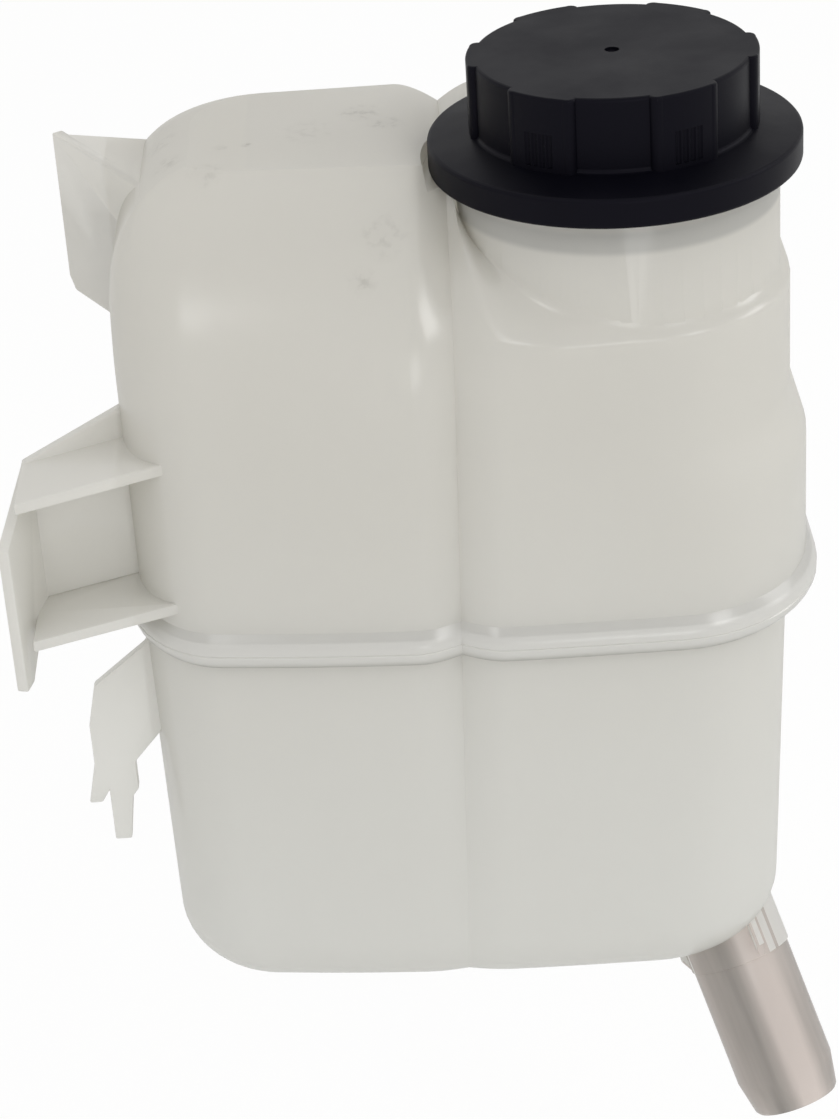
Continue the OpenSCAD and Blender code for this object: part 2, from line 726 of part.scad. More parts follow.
// Lips that hang from the cap's top, snap under the insert's flange and turn round it
module insert_lip() {
    rotate_extrude() translate([insert_flange_r + fit_gap, lip_z])
        square([wall - lip_t, cap_under - lip_z]);
    rotate_extrude() translate([insert_body_r + fit_gap, lip_z])
        square([lip_hold + fit_gap, lip_t]);
    rotate_extrude() translate([insert_body_r - cap_top, insert_top + fit_gap])
        square([cap_top, cap_under - insert_top - fit_gap]);
}

// Screw cap: flange, ribbed grip, inner thread and the lips of the valve insert
module cap_shell() color(black) placed() {
    difference() {
        union() {
            rotate_extrude() polygon([
                [0, cap_under], [cap_inner_r, cap_under], [cap_inner_r, flange_under],
                [flange_r - flange_wall, flange_under], [flange_r - flange_wall, 0],
                [flange_r, 0], [flange_r, flange_rim - flange_edge],
                [flange_r - flange_edge, flange_rim],
                [grip_r, grip_base], [grip_r, cap_height - cap_chamfer],
                [grip_r - cap_chamfer, cap_height], [0, cap_height]]);
            for (i = [0:rib_count - 1])
                rotate([0, 0, 360 * (i + 0.5) / rib_count - 90])
                translate([grip_r - rib_r / 4, 0, 0]) tube_z(rib_r, flange_rim, cap_height - rib_stop);
            insert_lip();
        }
        flutes();
        tube_z(dimple_r, cap_height - dimple_deep, cap_height + over);
    }
    ridge(cap_inner_r + bite, cap_crest_r, thread_z - pitch / 2);
}

// Valve insert: a cup that seals in the neck bore and holds the valves
module valve_housing() color(insert_colour) placed() {
    difference() {
        union() {
            tube_z(insert_r, -insert_drop, land_top);
            tube_z(insert_body_r, -insert_drop, insert_top);
            tube_z(insert_flange_r, insert_flange_z, insert_top);
        }
        tube_z(seat_r, -insert_drop - over, floor_top + over);
        tube_z(chamber_r, floor_top, insert_top + over);
        tube_z(lid_r, lid_z, insert_top + over);
        difference() {
            tube_z(insert_r + over, ring_z - ring_d / 2 - groove_gap, ring_z + ring_d / 2 + groove_gap);
            tube_z(ring_mid_r - ring_d / 2 - groove_gap, ring_z - ring_d, ring_z + ring_d);
        }
    }
}

// Sealing ring in the insert's groove
module housing_o_ring() color(rubber) placed()
    rotate_extrude() translate([ring_mid_r, ring_z]) circle(d = ring_d, $fn = 48);

// Disc that closes the insert and holds the pressure spring down
module valve_retainer() color(insert_colour) placed()
    difference() {
        tube_z(lid_r - groove_gap, lid_z, lid_z + lid_t);
        tube_z(vacuum_r - 2 * fit_gap, lid_z - over, lid_z + lid_t + over);
        for (a = [0:90:270]) rotate([0, 0, a + 45]) translate([chamber_r - 1.7 * vent_r, 0, 0])
            tube_z(vent_r, lid_z - over, lid_z + lid_t + over);
    }

// Plate of the pressure valve, which lifts off its seat
module pressure_plate() color([0.75, 0.74, 0.70]) placed()
    difference() {
        tube_z(plate_r, plate_z, plate_top);
        tube_z(stem_r + fit_gap, plate_z - over, plate_top + over);
    }

// Flat seal under the plate
module pressure_seal() color(rubber) placed()
    difference() {
        tube_z(plate_r - 2 * fit_gap, floor_top, plate_z);
        tube_z(vacuum_r + 1.3 * seal_t, floor_top - over, plate_z + over);
    }

// Spring that holds the pressure valve shut
module pressure_spring() color(steel) placed()
    coil(plate_r - stem_r, pressure_wire_r, plate_top, lid_z, spring_turns);

// Vacuum valve: a disc under the plate with a stem through it
module vacuum_valve() color(brass) placed() {
    tube_z(vacuum_r, vacuum_z, vacuum_z + vacuum_t);
    tube_z(stem_r, vacuum_z, clip_z + 1.6 * clip_t);
}

// Clip that is pressed on the stem
module vacuum_clip() color(steel) placed()
    difference() {
        tube_z(2 * stem_r + fit_gap, clip_z, clip_z + clip_t);
        tube_z(stem_r, clip_z - over, clip_z + clip_t + over);
    }

// Spring that holds the vacuum valve shut
module vacuum_spring() color(steel) placed()
    coil(1.6 * stem_r + vacuum_wire_r, vacuum_wire_r, plate_top, clip_z, spring_turns);

upper_shell();
lower_shell();
cap_shell();
valve_housing();
housing_o_ring();
valve_retainer();
pressure_plate();
pressure_seal();
pressure_spring();
vacuum_valve();
vacuum_clip();
vacuum_spring();
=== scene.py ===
# %% [markdown]
# # A coolant expansion tank
# The real tank is two half shells of milky polypropylene, moulded apart and
# welded at a rim, with a black screw cap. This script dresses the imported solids:
# it keeps the small hidden valve parts and rebuilds both shells, the cap and the two
# springs with finer forms. All shapes are drawn in millimetres about the axis of the
# filler neck, with zero at the cap's lower edge, and are moved into the frame at the
# end.

# %% The frame
import json
import math

import bmesh
import bpy
from mathutils import Matrix, Vector


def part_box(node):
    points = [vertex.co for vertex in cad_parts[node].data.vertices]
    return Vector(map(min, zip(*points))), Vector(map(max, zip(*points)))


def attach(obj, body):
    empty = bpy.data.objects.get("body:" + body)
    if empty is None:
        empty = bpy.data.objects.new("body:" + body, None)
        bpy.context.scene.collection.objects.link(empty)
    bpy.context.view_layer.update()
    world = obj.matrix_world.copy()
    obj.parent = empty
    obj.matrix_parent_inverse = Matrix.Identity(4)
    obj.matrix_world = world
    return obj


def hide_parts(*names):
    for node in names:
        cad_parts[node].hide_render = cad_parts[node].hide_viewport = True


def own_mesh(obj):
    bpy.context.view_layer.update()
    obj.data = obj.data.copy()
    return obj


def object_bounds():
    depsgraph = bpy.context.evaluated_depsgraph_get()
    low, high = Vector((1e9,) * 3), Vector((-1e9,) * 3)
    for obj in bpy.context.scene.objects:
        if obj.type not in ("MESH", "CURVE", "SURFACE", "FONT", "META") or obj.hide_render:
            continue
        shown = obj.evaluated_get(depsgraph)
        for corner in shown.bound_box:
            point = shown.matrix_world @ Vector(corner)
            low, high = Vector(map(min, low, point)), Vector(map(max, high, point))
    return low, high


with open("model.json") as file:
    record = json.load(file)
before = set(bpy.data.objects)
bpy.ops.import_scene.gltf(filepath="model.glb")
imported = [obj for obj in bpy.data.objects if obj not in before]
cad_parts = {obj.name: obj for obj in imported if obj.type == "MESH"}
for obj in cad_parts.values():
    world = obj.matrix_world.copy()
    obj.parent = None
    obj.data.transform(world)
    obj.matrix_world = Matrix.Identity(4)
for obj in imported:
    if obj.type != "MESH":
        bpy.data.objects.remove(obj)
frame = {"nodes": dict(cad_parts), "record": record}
cad_low, cad_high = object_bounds()
MM = 0.001
cap_low, cap_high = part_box("cap_shell")
NECK = Vector(((cap_low.x + cap_high.x) / 2, (cap_low.y + cap_high.y) / 2, cap_low.z))
print("solids span", [round(v * 1000, 1) for v in cad_high - cad_low], "mm")

# %% [markdown]
# ## Camera
# The photograph looks down on the tank by 29 degrees, slightly rolled. The
# place was found by fitting the ellipse of the cap and the line of the weld.

# %% Camera
scene = bpy.context.scene
scene.view_settings.view_transform = "Standard"
camera = bpy.data.objects.new("camera", bpy.data.cameras.new("camera"))
scene.collection.objects.link(camera)
scene.camera = camera
STAND = Vector((-44.9, -562.4, 223.4))  # the camera's place about the neck
LOOK_DOWN, ROLL = math.radians(29.13), math.radians(3.86)
camera.data.sensor_width = 36
camera.data.lens = 95.48
camera.data.clip_start = 0.05
camera.matrix_world = (Matrix.Translation(NECK + STAND * MM)
                       @ Matrix.Rotation(math.pi / 2 - LOOK_DOWN, 4, "X")
                       @ Matrix.Rotation(-ROLL, 4, "Z"))
print("camera stands", round(STAND.length), "mm from the neck")

# %% [markdown]
# ## Mesh helpers
# Five helpers carry the modelling. `lathe` spins a profile round the neck axis,
# `spun` spins a closed section by an angle or along a helix, `loft` extrudes a ring
# of edges level by level, `plate` thickens an outline, and `combine` unites or cuts
# closed shapes as a toolmaker would, so that each finished shell is one clean skin.


# %% Mesh helpers
def clean(bm):
    """Merges double points and turns all faces outwards."""
    bmesh.ops.remove_doubles(bm, verts=bm.verts, dist=1e-4)
    bmesh.ops.recalc_face_normals(bm, faces=bm.faces)
    return bm


def lathe(profile, steps=96):
    """Spins an open profile of (radius, height) pairs a full turn."""
    bm = bmesh.new()
    verts = [bm.verts.new((r, 0, z)) for r, z in profile]
    edges = [bm.edges.new(pair) for pair in zip(verts, verts[1:])]
    bmesh.ops.spin(bm, geom=verts + edges, cent=(0, 0, 0), axis=(0, 0, 1),
                   angle=math.tau, steps=steps, use_merge=True)
    return clean(bm)


def spun(outline, angle, steps, rise=0.0):
    """A closed cross-section spun by an angle round the neck axis, rising as it goes."""
    bm = bmesh.new()
    verts = [bm.verts.new((r, 0, z)) for r, z in outline]
    face = bm.faces.new(verts)
    bmesh.ops.spin(bm, geom=[face, *face.edges, *verts], cent=(0, 0, 0), axis=(0, 0, 1),
                   angle=angle, steps=steps, dvec=(0, 0, rise / steps))
    return clean(bm)


def rod(radius, low, high, steps=96):
    """A closed cylinder on the neck axis."""
    return lathe([(0, low), (radius, low), (radius, high), (0, high)], steps)


def loft(rings):
    """A closed skin over a stack of rings. Each ring is its front chain from left
    to right, then its back chain from right to left, with as many points."""
    bm = bmesh.new()
    slot = bm.verts.layers.int.new("slot")
    count = len(rings[0])
    bmesh.ops.create_circle(bm, radius=1, segments=count)
    for i, v in enumerate(bm.verts):
        v[slot] = i
        v.co = rings[0][i]
    edges = list(bm.edges)
    ends = [edges]
    for ring in rings[1:]:
        made = bmesh.ops.extrude_edge_only(bm, edges=edges)["geom"]
        edges = [g for g in made if isinstance(g, bmesh.types.BMEdge)]
        for v in (g for g in made if isinstance(g, bmesh.types.BMVert)):
            v.co = ring[v[slot]]
    ends.append(edges)
    for end in ends:
        chains = [e for e in end
                  if (e.verts[0][slot] < count / 2) == (e.verts[1][slot] < count / 2)]
        bmesh.ops.bridge_loops(bm, edges=chains)
    return clean(bm)


def plate(outline, along):
    """A flat outline of points, thickened by the vector along."""
    bm = bmesh.new()
    face = bm.faces.new([bm.verts.new(p) for p in outline])
    made = bmesh.ops.extrude_face_region(bm, geom=[face])["geom"]
    moved = [g for g in made if isinstance(g, bmesh.types.BMVert)]
    bmesh.ops.translate(bm, verts=moved, vec=along)
    return clean(bm)


def soften(bm, width, where=lambda edge: True, angle=30, segments=3):
    """Rounds the sharp edges that lie where the test says."""
    sharp = [e for e in bm.edges if e.is_manifold
             and e.calc_face_angle(0) > math.radians(angle) and where(e)]
    bmesh.ops.bevel(bm, geom=sharp, offset=width, segments=segments, affect="EDGES",
                    profile=0.5, material=-1, clamp_overlap=True)
    return bm


def turned(bm, *matrices):
    """Moves a shape by one matrix after another."""
    for matrix in matrices:
        bmesh.ops.transform(bm, matrix=matrix, verts=bm.verts)
    return bm


def hold(bm):
    """A passing object for the modifiers."""
    mesh = bpy.data.meshes.new("passing")
    bm.to_mesh(mesh)
    bm.free()
    piece = bpy.data.objects.new("passing", mesh)
    scene.collection.objects.link(piece)
    return piece


def combine(bm, how, *others):
    """Unites a shape with others, or cuts them out of it."""
    for other in others:
        first, second = hold(bm), hold(other)
        joining = first.modifiers.new("joining", "BOOLEAN")
        joining.object, joining.operation, joining.solver = second, how, "MANIFOLD"
        mesh = bpy.data.meshes.new_from_object(
            first.evaluated_get(bpy.context.evaluated_depsgraph_get()))
        bm = bmesh.new()
        bm.from_mesh(mesh)
        for piece in (first, second):
            bpy.data.objects.remove(piece)
        bpy.data.meshes.remove(mesh)
    return bm


def piece_of(bm, name, body, slot, *materials, sharp=34):
    """Moves a finished shape into the frame and lets it ride on its body."""
    bmesh.ops.remove_doubles(bm, verts=bm.verts, dist=1e-3)
    bmesh.ops.dissolve_degenerate(bm, edges=bm.edges, dist=1e-4)
    turned(bm, Matrix.Scale(MM, 4), Matrix.Translation(NECK))
    for f in bm.faces:
        f.smooth = True
    for e in bm.edges:
        e.smooth = not e.is_manifold or e.calc_face_angle(0) < math.radians(sharp)
    mesh = bpy.data.meshes.new(name)
    bm.to_mesh(mesh)
    open_edges = sum(not e.is_manifold for e in bm.edges)
    bm.free()
    piece = bpy.data.objects.new(name, mesh)
    scene.collection.objects.link(piece)
    for material in materials:
        mesh.materials.append(material)
    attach(piece, body)
    print(name, len(mesh.polygons), "faces,", open_edges, "open edges")
    return piece


# %% [markdown]
# ## Material helpers
# `hexed` turns a written sRGB colour into the linear one that shaders use, and
# `node` adds one shader node with its settings and its links. Sizes of patterns
# are given in millimetres and turned into a noise scale by `per_mm`. A soft mask is
# a Map Range node that runs smoothly from one value to another between two limits.


# %% Material helpers
def hexed(code):
    """Linear colour of an sRGB hex code."""
    parts = [int(code[i:i + 2], 16) / 255 for i in (0, 2, 4)]
    return [c / 12.92 if c <= 0.04045 else ((c + 0.055) / 1.055) ** 2.4
            for c in parts] + [1]


def node(tree, kind, inputs=None, **settings):
    """Adds a node. Inputs go by name or number, each with a value or with the output
    socket that feeds it. Settings name the node's own properties or inputs."""
    made = tree.nodes.new("ShaderNode" + kind)
    for name, value in settings.items():
        if hasattr(made, name):
            setattr(made, name, value)
        else:
            made.inputs[name.replace("_", " ")].default_value = value
    for name, value in (inputs or {}).items():
        if isinstance(value, bpy.types.NodeSocket):
            tree.links.new(value, made.inputs[name])
        else:
            made.inputs[name].default_value = value
    return made


def per_mm(size):
    """Noise scale whose features are about so many millimetres wide."""
    return 1 / (size * MM)


def new_material(name):
    """An empty node material and its tree."""
    material = bpy.data.materials.new(name)
    material.use_nodes = True
    material.node_tree.nodes.clear()
    return material, material.node_tree


# %% [markdown]
# ## Moulded polypropylene
# The shells are natural polypropylene: milky, with light passing through the
# wall and glowing back out of the hollow, which is why the valley and the
# bracket's pocket hardly darken. A subsurface shader is slow on a hollow shell,
# so about half of each surface is a translucent shader, which lets light through and
# spreads it. The moulding is whiter below and a little darker and yellower toward
# the neck. Handling has left grey specks and smudges on its top, painted shade
# darkens the valley beside the neck, and a painted shadow of the cap's flange
# greys the neck under the cap.

# %% Grime and painted valley shade
# Where handling and the mould left marks, each with its reach and its strength; the last
# three, on the front beside the valley, are painted shade
MARKS_AND_VALLEY_SHADE = [((-80.2, 11.1, 3.3), 2.2, 0.4), ((-74.7, 11.8, 3.3), 1.6, 0.5),
         ((-51, 26, 3.3), 6, 0.35), ((-46, 19, 3.3), 5, 0.3), ((-62, 17, 3.3), 9, 0.12),
         ((-93, 22, 0.6), 5, 0.2), ((-91, 8, 1.9), 5, 0.22), ((-83, -1, 2.7), 5, 0.2),
         ((-48, -15.9, -7), 7, 0.2), ((-39, -7.4, -7.3), 6, 0.2),
         ((-52.6, -22, -14), 4, 0.25)]
SPECK = 2.2  # width of a smudge


def grime_and_valley_shade(tree, place):
    """Grey specks and smudges, densest around the marks; beside the valley they are painted
    shade.
    """
    total = 0
    for centre, reach, strength in MARKS_AND_VALLEY_SHADE:
        away = node(tree, "VectorMath", {0: place, 1: NECK + Vector(centre) * MM},
                    operation="DISTANCE")
        mask = node(tree, "MapRange", {"Value": away.outputs["Value"]},
                    interpolation_type="SMOOTHSTEP", From_Min=0, From_Max=reach * MM,
                    To_Min=strength, To_Max=0)
        total = node(tree, "Math", {0: total, 1: mask.outputs["Result"]},
                     operation="MAXIMUM").outputs[0]
    specks = node(tree, "TexNoise", {"Vector": place}, Scale=per_mm(SPECK), Detail=3)
    density = node(tree, "MapRange", {"Value": specks.outputs["Fac"]},
                   interpolation_type="SMOOTHSTEP", From_Min=0.46, From_Max=0.7,
                   To_Min=0.15, To_Max=1)
    return node(tree, "Math", {0: total, 1: density.outputs["Result"]},
                operation="MULTIPLY").outputs[0]


# %% Moulded polypropylene
# Limits of the painted shadow of the cap's flange on the neck, of the weld rim and of the
# plates on the left
BAND_R, BAND, RIM_BAND, PLATES_AT = (33.6, 34.4), (-8, -6.4, -3.5, -1.6), (-95.6, -89.4), -105
EDGE_WIDE = 0.6  # over which a mask of the rim fades
CLOUD, GRAIN = 45, 1.2  # widths of the slow change in shade and of the mould's grain


def polypropylene(name, low, high, rough, veil):
    """Natural polypropylene straight from the mould, tinted from low to high: a soft
    gloss over a milky wall that glows where light passes through."""
    material, tree = new_material(name)
    place = node(tree, "TexCoord").outputs["Object"]
    x, y, z = node(tree, "SeparateXYZ", {"Vector": place}).outputs
    cloud = node(tree, "TexNoise", {"Vector": place}, Scale=per_mm(CLOUD),
                 Detail=3).outputs["Fac"]
    across = node(tree, "CombineXYZ", {"X": x, "Y": y})
    off = node(tree, "VectorMath", {0: across.outputs[0], 1: (NECK.x, NECK.y, 0)},
               operation="DISTANCE").outputs["Value"]
    # Each mask has a value, the limits that it runs between, and its start and end
    masks = {}
    for mask, value, start_at, end_at, start, end in (
            ("rise", z, NECK.z - 190 * MM, NECK.z + 5 * MM, 0, 0.8),
            ("inside", off, BAND_R[0] * MM, BAND_R[1] * MM, 1, 0),
            ("under", z, NECK.z + BAND[0] * MM, NECK.z + BAND[1] * MM, 0, 1),
            ("over", z, NECK.z + BAND[2] * MM, NECK.z + BAND[3] * MM, 0.45, 0),
            ("gloss", cloud, 0.3, 0.7, rough - 0.03, rough + 0.05),
            ("rim_foot", z, NECK.z + RIM_BAND[0] * MM,
             NECK.z + (RIM_BAND[0] + EDGE_WIDE) * MM, 0, 1),
            ("rim_head", z, NECK.z + (RIM_BAND[1] - EDGE_WIDE) * MM,
             NECK.z + RIM_BAND[1] * MM, 1, 0),
            ("plates", x, NECK.x + (PLATES_AT - 1) * MM, NECK.x + PLATES_AT * MM, 1, 0)):
        masks[mask] = node(tree, "MapRange", {"Value": value}, interpolation_type="SMOOTHSTEP",
                           From_Min=start_at, From_Max=end_at, To_Min=start,
                           To_Max=end).outputs["Result"]
    # Whiter below and a little darker and yellower toward the neck, with a slow random change
    # in tone
    tint_by_height = node(tree, "Math", {0: cloud, 1: 0.3, 2: masks["rise"]}, operation="MULTIPLY_ADD")
    colour = node(tree, "Mix", {0: tint_by_height.outputs[0], 6: hexed(low), 7: hexed(high)},
                  data_type="RGBA").outputs[2]
    # Painted shadow: a soft grey band under the cap's flange darkens the neck
    band = node(tree, "Math", {0: masks["under"], 1: masks["over"]}, operation="MULTIPLY")
    band = node(tree, "Math", {0: band.outputs[0], 1: masks["inside"]}, operation="MULTIPLY")
    # First the painted shadow of the flange, then the grime, whose marks beside the valley are
    # painted shade
    for factor, shade in ((band.outputs[0], "a9aaa8"), (grime_and_valley_shade(tree, place), "8a867e")):
        colour = node(tree, "Mix", {0: factor, 6: colour, 7: hexed(shade)},
                      data_type="RGBA").outputs[2]
    fine = node(tree, "TexNoise", {"Vector": place}, Scale=per_mm(GRAIN), Detail=3)
    bump = node(tree, "Bump", {"Height": fine.outputs["Fac"]}, Strength=0.05,
                Distance=0.1 * MM).outputs["Normal"]
    skin = node(tree, "BsdfPrincipled",
                {"Base Color": colour, "Roughness": masks["gloss"], "Normal": bump},
                IOR=1.49, Specular_IOR_Level=0.9)
    glow = node(tree, "BsdfTranslucent", {"Color": colour, "Normal": bump})
    # The rim and the bracket are solid plates, so less light passes through them
    solid = node(tree, "Math", {0: masks["rim_foot"], 1: masks["rim_head"]},
                 operation="MULTIPLY")
    solid = node(tree, "Math", {0: solid.outputs[0], 1: masks["plates"]}, operation="MAXIMUM")
    through = node(tree, "MapRange", {"Value": solid.outputs[0]},
                   interpolation_type="SMOOTHSTEP", To_Min=veil, To_Max=0.8 * veil)
    both = node(tree, "MixShader", {0: through.outputs["Result"], 1: skin.outputs[0],
                                    2: glow.outputs[0]})
    node(tree, "OutputMaterial", {"Surface": both.outputs[0]})
    return material


milky = polypropylene("moulded_natural_polypropylene", "efefec", "e9e7e1", 0.18, 0.48)
print(milky.name, "has", len(milky.node_tree.nodes), "nodes")

# %% [markdown]
# ## The forms of the tank body
# The body is easiest to describe as a stack of level outlines, because both lobes,
# the valley between them, the leaning front shoulder and the rounded ends all
# change with height. A front and a back chain of points make each outline.

# %% The forms of the tank body
# The sides of the upper shell, then the heights of its top, weld and ledge
LEFT, RIGHT, FRONT, BACK = -105.0, 38.4, -35.0, 48.0
TOP, SEAM, LEDGE = 3.3, -92.4, -25.0
# The depth of the lower shell, its base and the rounding of its base
DEPTH, BASE_ROUND = 94.0, 18
BASE = SEAM - DEPTH
WALL, NECK_R, CREASE = 2.6, 33.2, -9.0  # the crease is where the shoulder meets the top
# The valley's place at the cap, its slant, half width, depth, and how it grows upwards
VALLEY_X, VALLEY_SLANT, VALLEY_HALF, VALLEY_DEPTH = -34.6, 0.029, 9.0, 3.6
VALLEY_GROWTH, GROWTH_FOOT, GROWTH_HIGH = 3, 66, 22
# The front shoulder of the left lobe: its foot under the top and how far it leans in
SHOULDER_FOOT, SHOULDER_IN = 41, 29
# The right lobe leans in over the ledge, at its front and at its end
FRONT_IN, END_IN = 62, 29
# Beside the valley the right lobe's front fades in over this width
FADE_WIDE = 21.6
# The side bulge stands out under this height
BULGE, BULGE_HEAD = 3.2, -60
# The left end and the back edge round over under the top: how far down they start,
# where the curve would close and how far they come in
DOME, DOME_END, DOME_IN = 30, 30.6, 24
BRINK, BRINK_END, BRINK_IN = 9, 9.3, 9
# The front falls back toward the left: by how much, from where and over what length
SWEEP, SWEEP_FROM, SWEEP_LONG = 8, -11, 94
# The lower shell starts a little inside the upper one and narrows toward its base
SET_BACK, END_SET_BACK, DRAFT, END_DRAFT = 1.4, 5, 1.4, 2.4
# How wide the front runs into the neck: broadly by the valley, tightly by the ledge
BLEND_BROAD, BLEND_TIGHT = 14, 1.2
# Radii of the upper shell's corners, left and right, front and back
LEFT_ROUND, RIGHT_ROUND, BACK_LEFT, BACK_RIGHT = 17, 30, 16, 24
LOWER_RIGHT, LOWER_BACK_RIGHT = 25, 19  # and of the lower shell's right corners
CORNER_STEPS, LEFT_STEPS, RIGHT_STEPS, VALLEY_STEPS = 12, 8, 18, 10


def ease(t):
    """A soft step from 0 to 1."""
    t = min(max(t, 0), 1)
    return t * t * (3 - 2 * t)


def mix(a, b, t):
    """The value between a and b at the share t."""
    return a + (b - a) * t


def round_in(up, height, width, fullness=2.2):
    """How far a rounded end has come in at up above its foot."""
    if up <= 0:
        return 0
    return width * (1 - max(0, 1 - (min(up, height) / height) ** fullness) ** (1 / fullness))


def lean_in(z, foot, depth, power):
    """How far a face that starts to lean in at a foot has come in at z."""
    return depth * (max(0, z - foot) / (TOP - foot)) ** power


def valley_at(z):
    """Where the valley runs at height z."""
    return VALLEY_X + VALLEY_SLANT * z


def valley_depth(z):
    """The front valley deepens toward the neck and shallows again at the top."""
    grown = VALLEY_DEPTH + VALLEY_GROWTH * ease((z - SEAM - GROWTH_FOOT) / GROWTH_HIGH)
    return grown * (1 - 0.55 * ease((z - TOP + 15) / 15))


def notch(x, xv):
    """The valley's cross-section: 1 at its line xv and 0 at its edges."""
    return max(0, 1 - abs(x - xv) / VALLEY_HALF) ** 1.6


def sweep(x):
    """The front falls back toward the left."""
    return SWEEP * (max(0, SWEEP_FROM - x) / SWEEP_LONG) ** 2


def chain(side, xl, xr, y, left, right, xv):
    """The front (side 1) or back (side -1) of an outline, from left to right."""
    turn = [math.radians(90 * i / CORNER_STEPS) for i in range(CORNER_STEPS + 1)]
    points = [(xl + left[0] * (1 - math.cos(a)), y + side * left[1] * (1 - math.sin(a)))
              for a in turn]
    points += [(mix(xl + left[0], xv - VALLEY_HALF, i / LEFT_STEPS), y)
               for i in range(1, LEFT_STEPS)]
    points += [(xv + VALLEY_HALF * math.copysign((abs(i) / VALLEY_STEPS) ** 1.3, i), y)
               for i in range(-VALLEY_STEPS, VALLEY_STEPS + 1)]
    points += [(mix(xv + VALLEY_HALF, xr - right[0], i / RIGHT_STEPS), y)
               for i in range(1, RIGHT_STEPS)]
    points += [(xr - right[0] * (1 - math.sin(a)), y + side * right[1] * (1 - math.cos(a)))
               for a in turn]
    return points


def clamp(v, low, high):
    """A value kept between two others."""
    return min(max(v, low), high)


def toward_neck(x, y, z, t, xv):
    """Swells a point of the front so that it runs softly into the neck's cylinder:
    tightly over the ledge on the right, broadly toward the valley at xv."""
    reach, wide = math.hypot(x, y), mix(BLEND_BROAD, BLEND_TIGHT, ease((x + 26) / 34))
    gap = reach - (NECK_R - t)
    if y > 0 or gap > wide or gap < -2.5 * wide:
        return x, y
    if gap > -wide:
        grown = max(gap, 0) + (wide - abs(gap)) ** 2 / (4 * wide)
    else:
        grown = -2.5 * wide * ((-gap - wide) / (1.5 * wide)) ** 2
    scale = mix(1, (NECK_R - t + grown) / reach, ease((x - xv) / 7) * ease((z + 50) / 20))
    return x * scale, y * scale


def upper_ring(z, t=0.0):
    """Outline of the upper shell at height z, moved in by t."""
    xl = LEFT + t + round_in(z - TOP + DOME, DOME_END, DOME_IN)
    xr = RIGHT - t - lean_in(z, LEDGE, END_IN, 1.2) - BULGE * ease((z - BULGE_HEAD) / 10)
    yf = FRONT + t
    yb = BACK - t - round_in(z - TOP + BRINK, BRINK_END, BRINK_IN)
    xv = valley_at(z)
    left_lean = lean_in(z, TOP - SHOULDER_FOOT, SHOULDER_IN, 1.7)
    right_lean = lean_in(z, LEDGE, FRONT_IN, 1.2)
    grow = 2 * ease((z + 63) / 10)
    back_left, back_right = BACK_LEFT - t, BACK_RIGHT - t
    left = (LEFT_ROUND - t, clamp(CREASE - yf - left_lean, 3, 22.1 - t))
    right = (clamp(xr - xv - VALLEY_HALF - 3, 3, RIGHT_ROUND + grow - t),
             clamp(yb - yf - right_lean - back_right - WALL, 3, 33 + grow - t))
    dip = 3 * ease((z - TOP + BRINK) / BRINK)
    ring = []
    for x, y in chain(1, xl, xr, yf, left, right, xv):
        n = notch(x, xv)
        back_by = mix(left_lean, right_lean, ease((x - xv) / FADE_WIDE))
        y += sweep(x) + valley_depth(z) * n + back_by
        if x > xv:
            x, y = toward_neck(x, y, z, t, xv)
        ring.append((x, y, z - dip * n))
    for x, y in reversed(chain(-1, xl, xr, yb, (back_left, back_left),
                               (min(back_right, right[0]), back_right), xv)):
        n = notch(x, xv)
        ring.append((x, y - VALLEY_DEPTH * n, z - dip * n))
    return ring


def lower_ring(z, t=0.0, b=0.0):
    """Outline of the lower shell at height z, moved in by t and the rounding b."""
    u = (SEAM - z) / DEPTH
    xl, xr = LEFT + DRAFT * u + t + b, RIGHT - END_SET_BACK - END_DRAFT * u - t - b
    yf = FRONT + SET_BACK + DRAFT * u + t + b
    yb = BACK - SET_BACK - DRAFT * u - t - b
    xv = valley_at(z)
    left, right, back_left, back_right = (
        max(2, radius - t - b / 2)
        for radius in (LEFT_ROUND, LOWER_RIGHT, BACK_LEFT, LOWER_BACK_RIGHT))
    depth = VALLEY_DEPTH * (1 - 0.7 * u)
    fall = [0.4 * u * (x - LEFT) / (RIGHT - LEFT) for x in (xl, xr)]
    ring = []
    for x, y in chain(1, xl, xr, yf, (left, left), (right, right), xv):
        drop = mix(fall[0], fall[1], (x - xl) / (xr - xl))
        ring.append((x, y + sweep(x) + depth * notch(x, xv), z - drop))
    for x, y in reversed(chain(-1, xl, xr, yb, (back_left, back_left),
                               (back_right, back_right), xv)):
        drop = mix(fall[0], fall[1], (x - xl) / (xr - xl))
        ring.append((x, y - depth * notch(x, xv), z - drop))
    return ring


def shifted(ring, up):
    """A ring moved up."""
    return [(x, y, z + up) for x, y, z in ring]


def rim(profile):
    """A band round the weld, from (width outside the wall, height) pairs."""
    return loft([[(x, y, SEAM + h) for x, y, z in upper_ring(SEAM, -out)]
                 for out, h in profile])


# Heights close up over the ledge and toward the top, where the outlines shrink fast
UNDER_LEDGE, HEAD = LEDGE - 1, -8
upper_levels = ([mix(SEAM, UNDER_LEDGE, i / 30) for i in range(30)]
                + [mix(UNDER_LEDGE, HEAD, i / 26) for i in range(26)]
                + [mix(HEAD, TOP, math.sin(math.pi / 2 * i / 18)) for i in range(19)])
base_angles = [math.radians(a) for a in range(8, 91, 6)]
lower_levels = [BASE + BASE_ROUND + i * (DEPTH - BASE_ROUND) / 12 for i in range(1, 13)]


def lower_rings(t=0.0):
    """All outlines of the lower shell, from its rounded base to the weld."""
    rings = [lower_ring(BASE + BASE_ROUND * (1 - math.cos(a)), t,
                        BASE_ROUND * (1 - math.sin(a))) for a in base_angles]
    return rings + [lower_ring(z, t) for z in lower_levels]


print(len(upper_levels), "levels above the weld and", len(lower_rings()), "below it")


